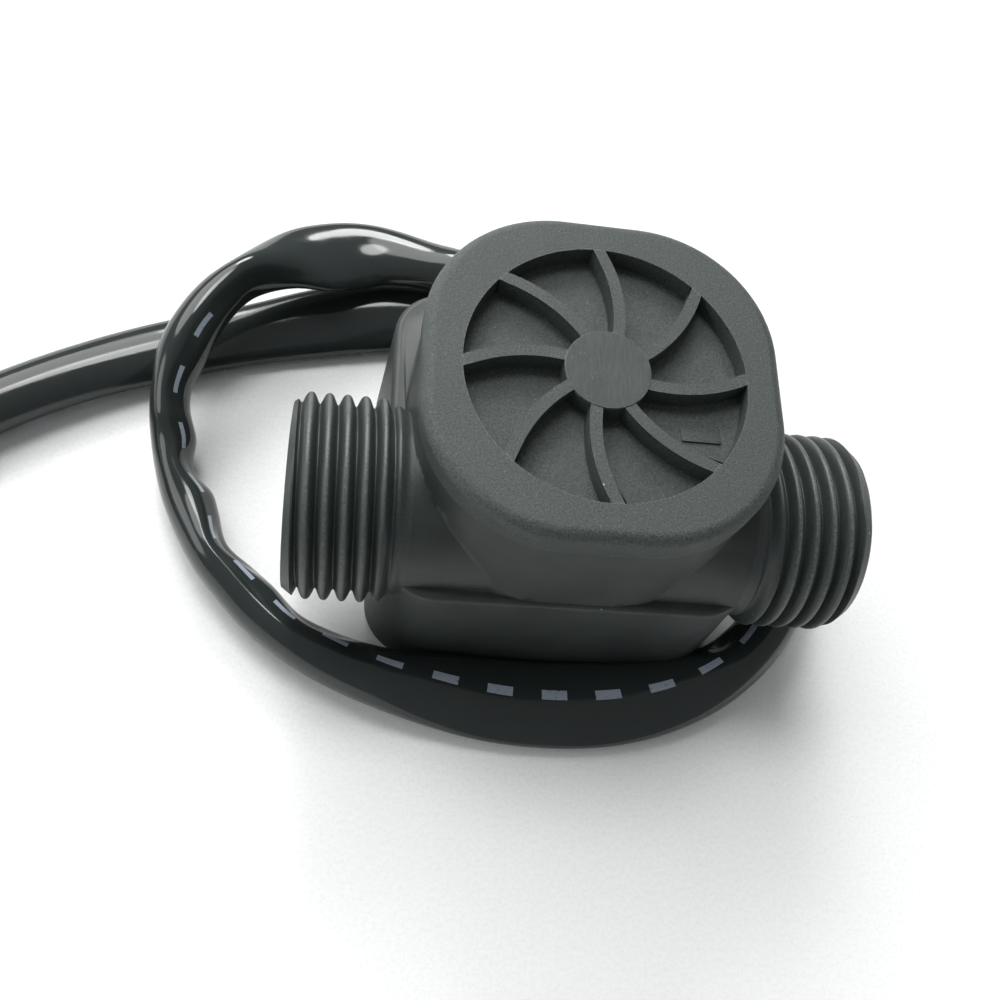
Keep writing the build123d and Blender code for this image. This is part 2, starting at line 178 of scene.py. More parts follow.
def copy_of(node, name):
    """A merged copy of a node's mesh, with its flat faces made whole again."""
    piece = bpy.data.objects.new(name, nodes[node].data.copy())
    bpy.context.collection.objects.link(piece)
    edit_all(piece)
    bpy.ops.mesh.remove_doubles(threshold=0.002 * MM)
    bpy.ops.mesh.dissolve_limited(angle_limit=math.radians(0.3))
    leave()
    return piece


def set_material(piece, material):
    piece.data.materials.clear()
    piece.data.materials.append(material)


def finish_piece(piece, material, body):
    set_material(piece, material)
    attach(piece, body)


def add_camera():
    """Camera at the photograph's place and angle."""
    yaw, pitch, roll = map(math.radians, (CAMERA_YAW, CAMERA_PITCH, CAMERA_ROLL))
    bpy.ops.object.camera_add()
    camera = bpy.context.object
    turn = (
        Matrix.Rotation(-yaw, 4, "Z")
        @ Matrix.Rotation(math.pi / 2 - pitch, 4, "X")
        @ Matrix.Rotation(roll, 4, "Z")
    )
    camera.matrix_world = Matrix.Translation(Vector(CAMERA_PLACE) * MM) @ turn
    camera.data.sensor_width = CAMERA_SENSOR
    camera.data.lens = CAMERA_LENS
    camera.data.clip_start = 5 * MM
    scene.camera = camera


# Materials

class Finish:
    """A Principled material with short calls for the nodes that feed it."""

    def __init__(self, name, colour, roughness):
        self.material = bpy.data.materials.new(name)
        self.material.use_nodes = True
        self.tree = self.material.node_tree
        self.shader = self.tree.nodes["Principled BSDF"]
        self.shader.inputs["Base Color"].default_value = (*colour, 1)
        self.shader.inputs["Roughness"].default_value = roughness
        self.place = self.tree.nodes.new("ShaderNodeTexCoord").outputs["Object"]

    def node(self, kind, **values):
        made = self.tree.nodes.new("ShaderNode" + kind)
        for key, value in values.items():
            setattr(made, key, value)
        return made

    def link(self, out, into):
        self.tree.links.new(out, into)

    def noise(self, size_mm, detail=3.0, roughness=0.55, source=None):
        """Noise whose grains are about size_mm across."""
        noise = self.node("TexNoise")
        noise.inputs["Scale"].default_value = 1.0 / (size_mm * MM)
        noise.inputs["Detail"].default_value = detail
        noise.inputs["Roughness"].default_value = roughness
        self.link(source or self.place, noise.inputs["Vector"])
        return noise.outputs["Fac"]

    def ramp(self, value, start, end, low=0.0, high=1.0):
        """Grey that goes from low to high as the value goes from start to end."""
        ramp = self.node("ValToRGB")
        stops = zip(ramp.color_ramp.elements, (start, end), (low, high))
        for element, position, grey in stops:
            element.position = position
            element.color = (grey, grey, grey, 1)
        self.link(value, ramp.inputs["Fac"])
        return ramp.outputs["Color"]

    def math(self, operation, first, second=None):
        step = self.node("Math", operation=operation)
        for slot, value in zip(step.inputs, (first, second)):
            if value is not None:
                self.feed(slot, value)
        return step.outputs["Value"]

    def mix(self, factor, first, second):
        mix = self.node("Mix", data_type="RGBA")
        for name, value in (("Factor", factor), ("A", first), ("B", second)):
            self.feed(mix.inputs[name], value)
        return mix.outputs["Result"]

    def feed(self, slot, value):
        if isinstance(value, tuple):
            slot.default_value = (*value, 1)
        elif isinstance(value, (int, float)):
            slot.default_value = value
        else:
            self.link(value, slot)

    def bump(self, height, depth_mm, strength=1.0, before=None):
        bump = self.node("Bump")
        bump.inputs["Strength"].default_value = strength
        bump.inputs["Distance"].default_value = depth_mm * MM
        self.link(height, bump.inputs["Height"])
        if before:
            self.link(before, bump.inputs["Normal"])
        self.link(bump.outputs["Normal"], self.shader.inputs["Normal"])
        return bump.outputs["Normal"]

    def specks(self, spacing_mm, radius_mm, share):
        """1 on small round specks, of which only a share of the cells has one."""
        cells = self.node("TexVoronoi")
        cells.inputs["Scale"].default_value = 1.0 / (spacing_mm * MM)
        self.link(self.place, cells.inputs["Vector"])
        near = self.math("LESS_THAN", cells.outputs["Distance"], radius_mm / spacing_mm)
        chosen = self.math("GREATER_THAN", cells.outputs["Color"], 1.0 - share)
        return self.math("MULTIPLY", near, chosen)

    def axes(self, source=None):
        """The X, Y and Z of a place."""
        parts = self.node("SeparateXYZ")
        self.link(source or self.place, parts.inputs["Vector"])
        return [parts.outputs[axis] for axis in "XYZ"]

    def product(self, first, *others):
        for other in others:
            first = self.math("MULTIPLY", first, other)
        return first

    def length(self, first, second):
        """How far a point is from where both values are 0."""
        squares = [self.math("POWER", value, 2.0) for value in (first, second)]
        return self.math("SQRT", self.math("ADD", *squares))

    def distance(self, first, second):
        return self.math("ABSOLUTE", self.math("SUBTRACT", first, second))

    def stretched(self, scale, degrees=0):
        """The object's place, scaled along the axes and then turned about Z."""
        mapping = self.node("Mapping")
        mapping.inputs["Rotation"].default_value = (0, 0, math.radians(degrees))
        mapping.inputs["Scale"].default_value = scale
        self.link(self.place, mapping.inputs["Vector"])
        return mapping.outputs["Vector"]

    def colour(self, value):
        self.feed(self.shader.inputs["Base Color"], value)

    def rough(self, value):
        self.feed(self.shader.inputs["Roughness"], value)


def housing_finish():
    """Smooth black moulded plastic with a faint flow pattern and pale dust specks."""
    finish = Finish("moulded_black_plastic", (0.022, 0.027, 0.026), 0.4)
    dark, light, dusty = (0.023, 0.029, 0.0275), (0.034, 0.042, 0.040), (0.3, 0.31, 0.3)
    flow = finish.noise(6.0, detail=2.0)
    grain = finish.noise(0.16, detail=4.0)
    tone = finish.mix(finish.ramp(flow, 0.35, 0.7), dark, light)
    dust = finish.specks(2.0, 0.09, 0.2)
    finish.colour(finish.mix(dust, tone, dusty))
    finish.rough(finish.ramp(grain, 0.3, 0.75, low=0.42, high=0.56))
    fine = finish.bump(grain, depth_mm=0.012, strength=0.5)
    finish.bump(finish.noise(2.4, detail=1.0), depth_mm=0.02, strength=0.35, before=fine)
    return finish.material


# Millimetres below the cap's top: what gets painted shade as the recess, and what counts as the top
RECESS_BELOW, TOP_BELOW = 1.0, 0.2
# Share of painted shade mixed into the recess floor
PAINTED_RECESS_SHADE = 0.15
# Painted highlights along the cap's round edges, broken by its grain: radius and half width in
# millimetres, strength
PAINTED_EDGE_HIGHLIGHTS = ((HUB_RADIUS, 0.07, 0.5), (RECESS_RADIUS - 0.03, 0.09, 0.45))


def cap_finish():
    """Spark-textured grey-black plastic with painted glints, painted highlights along its round
    edges, painted shade in its recess, and a smoother hub disc.
    """
    finish = Finish("spark_textured_plastic", (0.052, 0.063, 0.06), 0.55)
    grain = finish.noise(0.19, detail=4.0, roughness=0.75)
    cloud = finish.noise(5.0, detail=2.0)
    x, y, z = finish.axes()
    reach = finish.length(x, y)
    deep = finish.math("LESS_THAN", z, (CAP_TOP_Z - RECESS_BELOW) * MM)
    top = finish.math("GREATER_THAN", z, (CAP_TOP_Z - TOP_BELOW) * MM)

    dark, light = (0.022, 0.028, 0.0265), (0.092, 0.111, 0.107)
    clouded, painted_recess_shade = (0.062, 0.075, 0.072), (0.03, 0.037, 0.035)
    tone = finish.mix(finish.ramp(grain, 0.38, 0.66), dark, light)
    tone = finish.mix(finish.ramp(cloud, 0.3, 0.75, high=0.25), tone, clouded)
    # Painted shade: the recess floor is darkened below the top
    tone = finish.mix(finish.math("MULTIPLY", deep, PAINTED_RECESS_SHADE), tone, painted_recess_shade)

    smooth_dark, smooth_light = (0.040, 0.049, 0.047), (0.058, 0.070, 0.067)
    rubs = finish.noise(0.2, source=finish.stretched((1, 0.12, 1), degrees=12))
    rubbed = finish.mix(finish.ramp(rubs, 0.35, 0.65), smooth_dark, smooth_light)
    on_hub = finish.product(finish.math("LESS_THAN", reach, HUB_RADIUS * MM), top)
    tone = finish.mix(on_hub, tone, rubbed)

    # The round edges get a painted highlight in pale; the dust specks are real dust
    pale, painted_glint, dusty = (0.2, 0.225, 0.22), (0.17, 0.195, 0.19), (0.45, 0.46, 0.45)
    for radius, width, strength in PAINTED_EDGE_HIGHLIGHTS:
        on_edge = finish.math("LESS_THAN", finish.distance(reach, radius * MM), width * MM)
        painted_highlight = finish.product(on_edge, top, finish.ramp(grain, 0.4, 0.6, high=strength))
        tone = finish.mix(painted_highlight, tone, pale)
    # Painted glints: small bright specks scattered over the grain
    tone = finish.mix(finish.specks(0.5, 0.055, 0.35), tone, painted_glint)
    finish.colour(finish.mix(finish.specks(2.4, 0.09, 0.2), tone, dusty))
    finish.rough(finish.ramp(cloud, 0.3, 0.7, low=0.42, high=0.54))
    finish.bump(grain, depth_mm=0.09, strength=0.95)
    return finish.material


# Painted highlight on the thread's crests: they turn pale from this height over its root, within
# the rise after it
CREST_START, CREST_RISE = 1.08, 0.07


def thread_finish():
    """The housing's plastic on the thread: dusty grooves, and crests painted pale and grainy as a
    painted highlight.
    """
    finish = Finish("thread_plastic", (0.032, 0.039, 0.0375), 0.4)
    dark, light = (0.024, 0.03, 0.029), (0.046, 0.056, 0.054)
    pale, dusty = (0.12, 0.142, 0.137), (0.36, 0.38, 0.37)
    marks = finish.noise(0.22, detail=5.0, roughness=0.7)
    tone = finish.mix(finish.ramp(marks, 0.35, 0.7), dark, light)
    _, y, z = finish.axes()
    across = finish.math("ADD", y, -PORT_AXIS_Y * MM)
    above = finish.math("ADD", z, -PORT_AXIS_Z * MM)
    radius = finish.length(across, above)
    over = finish.math("SUBTRACT", radius, (THREAD_ROOT_RADIUS + CREST_START) * MM)
    crest = finish.math("DIVIDE", over, CREST_RISE * MM)
    crest = finish.math("MINIMUM", finish.math("MAXIMUM", crest, 0.0), 1.0)
    # Painted highlight on the crests, broken by the marks
    painted_highlight = finish.product(crest, finish.ramp(marks, 0.42, 0.6, low=0.3))
    tone = finish.mix(painted_highlight, tone, pale)
    finish.colour(finish.mix(finish.specks(1.6, 0.09, 0.24), tone, dusty))
    finish.rough(finish.ramp(marks, 0.3, 0.7, low=0.34, high=0.5))
    finish.bump(marks, depth_mm=0.03, strength=0.6)
    return finish.material


# Dashes along the sleeve: lengths in millimetres, width and place as shares of the way round
DASH_PERIOD_MM, DASH_LENGTH_MM, DASH_START_MM = 6.4, 3.0, 48.0
DASH_WIDTH, DASH_PLACE_ROUND = 0.036, 0.5
DASH_WEAR = 0.33


def sleeve_finish():
    """Glossy black vinyl with one line of plain pale dashes along it, by the tube's own map."""
    finish = Finish("glossy_black_vinyl", (0.006, 0.0065, 0.007), 0.1)
    dark, light, pale = (0.018, 0.0235, 0.0228), (0.027, 0.034, 0.033), (0.34, 0.39, 0.46)
    along, round_it, _ = finish.axes(finish.node("UVMap", uv_map="tube_map").outputs["UV"])
    part = finish.math("FRACT", finish.math("DIVIDE", along, DASH_PERIOD_MM))
    dash = finish.math("LESS_THAN", part, DASH_LENGTH_MM / DASH_PERIOD_MM)
    off = finish.distance(round_it, DASH_PLACE_ROUND)
    line = finish.math("LESS_THAN", off, DASH_WIDTH / 2)
    whole = finish.math("GREATER_THAN", finish.noise(0.3, detail=3.0), DASH_WEAR)
    begun = finish.math("GREATER_THAN", along, DASH_START_MM)
    tone = finish.mix(finish.noise(9.0), dark, light)
    finish.colour(finish.mix(finish.product(dash, line, whole, begun), tone, pale))
    finish.rough(finish.ramp(finish.noise(3.0), 0.3, 0.75, low=0.07, high=0.16))
    finish.bump(finish.noise(1.6, detail=2.0), depth_mm=0.008, strength=0.3)
    return finish.material


def plain_vinyl(name, dark, light):
    """Soft coloured wire insulation."""
    finish = Finish(name, light, 0.3)
    finish.colour(finish.mix(finish.noise(1.5), dark, light))
    finish.bump(finish.noise(0.5, detail=2.0), depth_mm=0.01, strength=0.3)
    return finish.material


def plain_plastic(name, dark, light, roughness, grain_mm=0.25):
    """Moulded plastic or rubber with a fine grain."""
    finish = Finish(name, light, roughness)
    grain = finish.noise(grain_mm, detail=4.0)
    finish.colour(finish.mix(grain, dark, light))
    roughest = min(1.0, roughness * 1.15)
    finish.rough(finish.ramp(grain, 0.3, 0.7, low=roughness * 0.85, high=roughest))
    finish.bump(grain, depth_mm=0.01, strength=0.5)
    return finish.material


def plain_metal(name, dark, light, roughness):
    """Bright metal with fine lines along its height."""
    finish = Finish(name, light, roughness)
    finish.shader.inputs["Metallic"].default_value = 1.0
    lines = finish.noise(0.12, detail=4.0, source=finish.stretched((1, 1, 0.06)))
    finish.colour(finish.mix(lines, dark, light))
    finish.rough(finish.ramp(lines, 0.3, 0.7, low=roughness * 0.8, high=roughness * 1.3))
    finish.bump(lines, depth_mm=0.004, strength=0.5)
    return finish.material


# Sleeve: points, in metres, that guide one smooth line; they are those of the model's route,
# apart from three behind the sensor

SLEEVE_ROUTE = [
    (-0.0045, 0.0152, 0.01000),
    (-0.0045, 0.0212, 0.01000),
    (-0.0080, 0.0262, 0.00960),
    (-0.0148, 0.0301, 0.00830),
    (-0.0232, 0.0317, 0.00750),
    (-0.0310, 0.0280, 0.00890),
    (-0.0375, 0.0213, 0.01040),
    (-0.0418, 0.0134, 0.00960),
    (-0.0437, 0.0047, 0.00540),
    (-0.0408, -0.0047, 0.00311),
    (-0.0340, -0.0133, 0.00311),
    (-0.0248, -0.0196, 0.00311),
    (-0.0140, -0.0236, 0.00311),
    (-0.0022, -0.0256, 0.00311),
    (0.0096, -0.0250, 0.00311),
    (0.0204, -0.0208, 0.00311),
    (0.0284, -0.0130, 0.00311),
    (0.0322, -0.0026, 0.00311),
    (0.0308, 0.0086, 0.00311),
    (0.0246, 0.0180, 0.00311),
    (0.0146, 0.0238, 0.00311),
    (0.0020, 0.0259, 0.00311),
    (-0.0120, 0.0256, 0.00311),
    (-0.0270, 0.0230, 0.00311),
    (-0.0420, 0.0183, 0.00311),
    (-0.0560, 0.0120, 0.00311),
    (-0.0684, 0.0038, 0.00311),
    (-0.0785, -0.0073, 0.00311),
    (-0.0866, -0.0196, 0.00311),
]

# Section of the soft tube: millimetres along it, its reach away from and towards the inside
# of the loop, its height, and how far it is rolled, in degrees (its outer edge goes up)
SLEEVE_SHAPE = [
    (0, 3.1, 3.1, 6.2, 0),
    (10, 3.1, 3.1, 6.2, 0),
    (16, 2.5, 3.6, 5.8, 0),
    (20, 2.2, 4.2, 4.8, 4),
    (24, 2.6, 4.8, 4.2, 6),
    (28, 3.2, 5.6, 3.7, 6),
    (32, 3.7, 5.9, 3.4, 4),
    (36, 4.0, 5.4, 3.6, 2),
    (40, 3.6, 3.2, 4.8, 0),
    (44, 3.1, 1.4, 6.4, 0),
    (48, 3.6, 1.3, 6.4, 0),
    (52, 3.8, 1.5, 6.6, 0),
    (56, 3.8, 1.6, 6.8, 0),
    (60, 3.1, 1.2, 7.2, 0),
    (62, 2.9, 1.5, 7.2, 0),
    (65.5, 2.6, 2.4, 7.0, 0),
    (69, 2.45, 1.85, 7.3, 0),
    (73, 2.5, 3.0, 7.0, 0),
    (76, 2.6, 2.7, 7.0, 0),
    (80, 2.9, 1.7, 7.2, 0),
    (84, 3.0, 2.2, 7.0, 0),
    (88, 3.3, 2.2, 6.8, 0),
    (92, 3.5, 1.7, 6.8, 0),
    (96, 3.6, 2.1, 6.6, 0),
    (100, 3.6, 2.5, 6.4, 0),
    (104, 3.6, 3.1, 6.2, 0),
    (109, 3.6, 4.6, 4.9, 0),
    (115, 3.7, 5.6, 3.8, 0),
    (121, 3.7, 6.0, 3.4, 0),
    (128, 3.7, 6.0, 3.4, 0),
    (134, 3.7, 5.2, 4.2, 0),
    (140, 3.6, 4.2, 5.0, 0),
    (146, 3.4, 3.4, 5.8, 0),
    (160, 3.1, 3.1, 6.2, 0),
    (220, 3.2, 3.2, 6.0, 2),
    (230, 4.9, 4.0, 4.9, 12),
    (240, 4.9, 4.1, 4.2, 14),
    (250, 4.1, 3.7, 3.9, 11),
    (262, 4.0, 3.6, 4.6, 5),
    (272, 3.8, 3.3, 5.2, 1),
    (285, 3.6, 3.2, 5.7, 0),
    (300, 3.2, 3.2, 6.1, 0),
    (316, 3.1, 3.1, 6.2, 0),
]

# Crease along the tube's top: millimetres along, degrees from the top towards the inside,
# how strong it is; the wall is flat beside it, on the inner side
SLEEVE_CREASE = [
    (40, 28, 0.0),
    (46, 22, 0.5),
    (50, 14, 0.9),
    (57, 0, 1.0),
    (64, 4, 1.0),
    (69, 15, 1.0),
    (76, 13, 1.0),
    (81, 2, 1.0),
    (86, -5, 1.0),
    (92, -4, 1.0),
    (98, 2, 0.7),
    (106, 6, 0.0),
    (112, 6, 0.0),
]

# Dents in the wall: millimetres along, degrees round as above, length, spread, depth
SLEEVE_DENTS = [
    (40, 62, 3.5, 34, 0.5),
    (70, 72, 2.4, 24, 0.4),
    (82, 64, 3.4, 20, 0.8),
    (95, 64, 3.8, 20, 0.8),
    (146, 55, 3.0, 26, 0.8),
    (153, 60, 3.0, 26, 0.6),
]

# Where the line of dashes runs: millimetres along, degrees round as above
DASH_ROUTE = [
    (0, 130),
    (42, 130),
    (50, 46),
    (60, 36),
    (74, 40),
    (84, 30),
    (96, 32),
    (108, 14),
    (124, 8),
    (140, 12),
    (156, 40),
    (180, 140),
    (316, 140),
]
RING_STEP = 0.6
RING_CORNERS = 80

# The crease is a low ridge with a flat wall beside it: degrees and millimetres
RIDGE_SPREAD, RIDGE_HEIGHT = 9, 0.06
FLAT_DEGREES, FLAT_SPREAD, FLAT_DEPTH = 30, 24, 0.3
# A dent is followed this many of its lengths to either side
DENT_REACH = 3
# Height of the tube's line, in millimetres, from which it is free of the table, and the height
# below it over which it settles until it lies on the table
FREE_HEIGHT, SETTLING_HEIGHT = 6.0, 2.5


def smooth_line(route):
    """Points along the NURBS spline that the route controls."""
    curve = bpy.data.curves.new("sleeve_route", "CURVE")
    curve.dimensions = "3D"
    spline = curve.splines.new("NURBS")
    spline.points.add(len(route) - 1)
    for knot, place in zip(spline.points, route):
        knot.co = (*place, 1)
    spline.order_u = 3
    spline.use_endpoint_u = True
    spline.resolution_u = 24
    guide = bpy.data.objects.new("sleeve_route", curve)
    bpy.context.collection.objects.link(guide)
    line = bpy.data.meshes.new_from_object(guide)
    places = [vertex.co.copy() for vertex in line.vertices]
    bpy.data.objects.remove(guide)
    return places


def even_points(line, step):
    """The same line as points a step apart, with the distance along it of each."""
    total = sum((b - a).length for a, b in zip(line, line[1:]))
    count = round(total / step)
    wanted = [total * i / count for i in range(count + 1)]
    points, run, index = [], 0.0, 0
    for distance in wanted:
        while index < len(line) - 2 and run + (line[index + 1] - line[index]).length < distance:
            run += (line[index + 1] - line[index]).length
            index += 1
        piece = line[index + 1] - line[index]
        points.append(line[index] + piece * min(1.0, (distance - run) / piece.length))
    return points, wanted


def between(table, place):
    """Row of a table at a place, on a smooth curve through its rows."""
    last = len(table) - 2
    index = max((i for i in range(last + 1) if table[i][0] <= place), default=0)
    start, end = table[index], table[index + 1]
    before, after = table[max(index - 1, 0)], table[min(index + 2, last + 1)]
    span = end[0] - start[0]
    part = clamp((place - start[0]) / span)
    row = []
    for a, b, c, d in zip(before[1:], start[1:], end[1:], after[1:]):
        slope_in = (c - a) / (end[0] - before[0]) * span
        slope_out = (d - b) / (after[0] - start[0]) * span
        row.append(
            b * (1 + 2 * part) * (1 - part) ** 2
            + slope_in * part * (1 - part) ** 2
            + c * part**2 * (3 - 2 * part)
            + slope_out * part**2 * (part - 1)
        )
    return row


def turn_from(middle, degrees):
    """Angle from the middle one, between -180 and 180 degrees."""
    return (degrees - middle + 180) % 360 - 180


def wall_push(place, degrees):
    """How far the wall is pushed in, in millimetres, at a place and an angle."""
    crease_degrees, strength = between(SLEEVE_CREASE, place)
    turn = turn_from(crease_degrees, degrees)
    flat = FLAT_DEPTH * math.exp(-(((turn - FLAT_DEGREES) / FLAT_SPREAD) ** 2))
    ridge = RIDGE_HEIGHT * math.exp(-((turn / RIDGE_SPREAD) ** 2))
    push = strength * (flat - ridge)
    for dent_place, dent_degrees, length, spread, depth in SLEEVE_DENTS:
        away = (place - dent_place) / length
        turn = turn_from(dent_degrees, degrees)
        if abs(away) < DENT_REACH:
            push += depth * math.exp(-away * away - (turn / spread) ** 2)
    return push


def sleeve_ring(point, ahead, place):
    """Corners of the tube's section at a place on its line, and the section's middle."""
    up = (Vector((0, 0, 1)) - ahead * ahead.z).normalized()
    inward = up.cross(ahead)
    outer, inner, height, roll = between(SLEEVE_SHAPE, place)
    middle = point + inward * ((inner - outer) / 2 * MM)
    turn = math.radians(roll)
    side = inward * math.cos(turn) - up * math.sin(turn)
    rise = up * math.cos(turn) + inward * math.sin(turn)
    ring = []
    for corner in range(RING_CORNERS):
        angle = 2 * math.pi * corner / RING_CORNERS
        push = wall_push(place, math.degrees(angle))
        across = math.sin(angle) * ((outer + inner) / 2 - push)
        over = math.cos(angle) * (height / 2 - push)
        ring.append(middle + (side * across + rise * over) * MM)
    lies = clamp((FREE_HEIGHT - point.z / MM) / SETTLING_HEIGHT)
    drop = (min(spot.z for spot in ring) - TABLE_GAP * MM) * lies
    for spot in ring:
        spot.z = max(spot.z - drop, TABLE_GAP * MM)
    middle.z -= drop
    return ring, middle


def add_sleeve():
    """The soft tube with its own map, in millimetres along and shares round, and its line."""
    points, distances = even_points(smooth_line(SLEEVE_ROUTE), RING_STEP * MM)
    corners, faces, marks, line = [], [], [], []
    for index, (point, distance) in enumerate(zip(points, distances)):
        ahead = (points[min(index + 1, len(points) - 1)] - points[max(index - 1, 0)]).normalized()
        ring, middle = sleeve_ring(point, ahead, distance / MM)
        corners += ring
        line.append(middle)
        dash_degrees = between(DASH_ROUTE, distance / MM)[0]
        marks += [(distance / MM, DASH_PLACE_ROUND - dash_degrees / 360)] * RING_CORNERS
    for ring in range(len(points) - 1):
        for corner in range(RING_CORNERS):
            nearby = (corner + 1) % RING_CORNERS
            low, high = ring * RING_CORNERS, (ring + 1) * RING_CORNERS
            faces.append((low + corner, low + nearby, high + nearby, high + corner))
    faces.append(tuple(reversed(range(RING_CORNERS))))
    faces.append(tuple(range(len(corners) - RING_CORNERS, len(corners))))
    mesh = bpy.data.meshes.new("vinyl_sleeve")
    mesh.from_pydata(corners, [], faces)
    tube_map = mesh.uv_layers.new(name="tube_map")
    for face in mesh.polygons:
        places = {vertex % RING_CORNERS for vertex in face.vertices}
        wraps = len(face.vertices) == 4 and places == {0, RING_CORNERS - 1}
        for loop in face.loop_indices:
            vertex = mesh.loops[loop].vertex_index
            round_place = (vertex % RING_CORNERS) / RING_CORNERS
            if wraps and round_place == 0:
                round_place = 1.0
            along, shift = marks[vertex]
            tube_map.data[loop].uv = (along, round_place + shift)
    sleeve = bpy.data.objects.new("vinyl_sleeve", mesh)
    bpy.context.collection.objects.link(sleeve)
    edit_all(sleeve)
    bpy.ops.mesh.normals_make_consistent(inside=False)
    leave()
    smooth(sleeve, 60)
    return sleeve, line


# Threads: one tooth drawn step by step, screwed round the port, cut and faded at its ends

TOOTH_STEPS = [
    (0.065, 0.02),
    (0.075, 0.11),
    (0.165, 0.40),
    (0.175, 0.36),
    (0.145, 0.17),
    (0.130, 0.075),
    (0.152, 0.025),
]
THREAD_TURNS, THREAD_SIDES = 10, 96
# Inwards from the mouth, in millimetres: where the thread is cut off, and where it fades
THREAD_REACH = 12.0
FADE_START, FADE_LENGTH = 9.0, 2.6
LEAD_IN_START, LEAD_IN_SLOPE = 0.08, 0.75
MOUTH_CHAMFER = 0.35
# How close two places are taken for one, in millimetres
SAME_PLANE, SAME_RING = 0.002, 0.01


def add_thread(name, end, phase):
    """Thread of the port at the end -1 or 1 of the pipe, shifted by a part of its pitch."""
    outermost = end * (MOUTH_X + (2 - phase) * THREAD_PITCH)
    start_x = outermost if end < 0 else outermost - THREAD_TURNS * THREAD_PITCH
    bpy.ops.mesh.primitive_plane_add(size=0.5 * MM, location=(0, 0, 0))
    thread = bpy.context.object
    thread.name = name
    thread.location = Vector((start_x, PORT_AXIS_Y, PORT_AXIS_Z)) * MM
    edit_all(thread)
    bpy.ops.mesh.merge(type="CENTER")
    bpy.ops.transform.translate(value=(0, 0, THREAD_ROOT_RADIUS * MM))
    steps = TOOTH_STEPS + [(along, -rise) for along, rise in reversed(TOOTH_STEPS)]
    for along, rise in steps:
        move = (along * MM, 0, rise * MM)
        bpy.ops.mesh.extrude_region_move(TRANSFORM_OT_translate={"value": move})
    leave()
    screw = thread.modifiers.new("turns", "SCREW")
    screw.axis = "X"
    screw.angle = 2 * math.pi
    screw.screw_offset = THREAD_PITCH * MM
    screw.iterations = THREAD_TURNS
    screw.steps = screw.render_steps = THREAD_SIDES
    screw.use_merge_vertices = True
    screw.merge_threshold = 0.001 * MM
    apply_modifiers(thread)
    settle(thread)
    for distance, keep_inner in ((0.0, True), (THREAD_REACH, False)):
        edit_all(thread)
        bpy.ops.mesh.bisect(
            plane_co=(end * (MOUTH_X - distance) * MM, 0, 0),
            plane_no=(end, 0, 0),
            clear_outer=keep_inner,
            clear_inner=not keep_inner,
            threshold=0.0002 * MM,
        )
        leave()
    shape_thread_ends(thread, end)
    close_mouth(thread, end)
    edit_all(thread)
    bpy.ops.mesh.remove_doubles(threshold=0.003 * MM)
    bpy.ops.mesh.normals_make_consistent(inside=False)
    leave()
    outer = max(thread.data.polygons, key=lambda face: face.center.z)
    if outer.normal.z < 0:
        thread.data.flip_normals()
    smooth(thread, 40)
    return thread


def from_port_axis(place):
    return math.hypot(place.y - PORT_AXIS_Y, place.z - PORT_AXIS_Z)


def set_radius(vertex, radius):
    """Move a vertex straight towards or away from the port's axis."""
    place = vertex.co / MM
    scale = radius / from_port_axis(place)
    vertex.co.y = (PORT_AXIS_Y + (place.y - PORT_AXIS_Y) * scale) * MM
    vertex.co.z = (PORT_AXIS_Z + (place.z - PORT_AXIS_Z) * scale) * MM


def shape_thread_ends(thread, end):
    """Chamfer the first turn and fade the last ones into the neck."""
    for vertex in thread.data.vertices:
        place = vertex.co / MM
        inside = MOUTH_X - end * place.x
        chamfer = THREAD_ROOT_RADIUS + LEAD_IN_START + LEAD_IN_SLOPE * inside
        wanted = min(from_port_axis(place), chamfer)
        fade = clamp((inside - FADE_START) / FADE_LENGTH)
        fade = fade * fade * (3 - 2 * fade)
        set_radius(vertex, wanted + (THREAD_ROOT_RADIUS - wanted) * fade)


def close_mouth(thread, end):
    """Ring face round the bore, with a small chamfer that leads into it."""
    for radius, inside in ((BORE_RADIUS + MOUTH_CHAMFER, 0.0), (BORE_RADIUS, MOUTH_CHAMFER)):
        edit(thread)
        bpy.ops.mesh.select_all(action="DESELECT")
        leave()
        rim = [
            vertex
            for vertex in thread.data.vertices
            if abs(vertex.co.x / MM - end * MOUTH_X) < SAME_PLANE
        ]
        smallest = min(from_port_axis(vertex.co / MM) for vertex in rim)
        clear_selection(thread)
        for vertex in rim:
            if inside == 0.0 or from_port_axis(vertex.co / MM) < smallest + SAME_RING:
                vertex.select = True
        edit(thread)
        move = (-end * inside * MM, 0, 0)
        bpy.ops.mesh.extrude_edges_move(TRANSFORM_OT_translate={"value": move})
        leave()
        for vertex in thread.data.vertices:
            if vertex.select:
                set_radius(vertex, radius)


def add_housing():
    """The model's housing without its plain bands, which the threads take the place of."""
    housing = copy_of("main_housing", "moulded_housing")
    clear_selection(housing)
    places = [vertex.co / MM for vertex in housing.data.vertices]
    radii = [from_port_axis(place) for place in places]
    in_band = [
        abs(place.x) > BAND_START_X - 0.01 and BORE_RADIUS - 0.1 < radius < BAND_REACH
        for place, radius in zip(places, radii)
    ]
    for face in housing.data.polygons:
        face.select = all(in_band[v] for v in face.vertices) and any(
            radii[v] > BORE_RADIUS + 0.1 for v in face.vertices
        )
    edit(housing, "FACE")
    bpy.ops.mesh.delete(type="FACE")
    leave()
    smooth(housing, 30)
    even_shading(housing)
    return housing


def add_cap():
    """The model's cap with softened edges and spoke tips that reach the recess wall."""
    cap = copy_of("pinwheel_cap", "textured_cap")
    for vertex in cap.data.vertices:
        place = vertex.co / MM
        reach = math.hypot(place.x, place.y)
        if SPOKE_TIP_CORNER[0] < reach < SPOKE_TIP_CORNER[1] and place.z > CAP_TOP_Z - 0.01:
            vertex.co.x *= RECESS_RADIUS / reach
            vertex.co.y *= RECESS_RADIUS / reach
    soften(cap, width_mm=0.13, segments=3, degrees=50)
    smooth(cap, 35)
    even_shading(cap)
    return cap


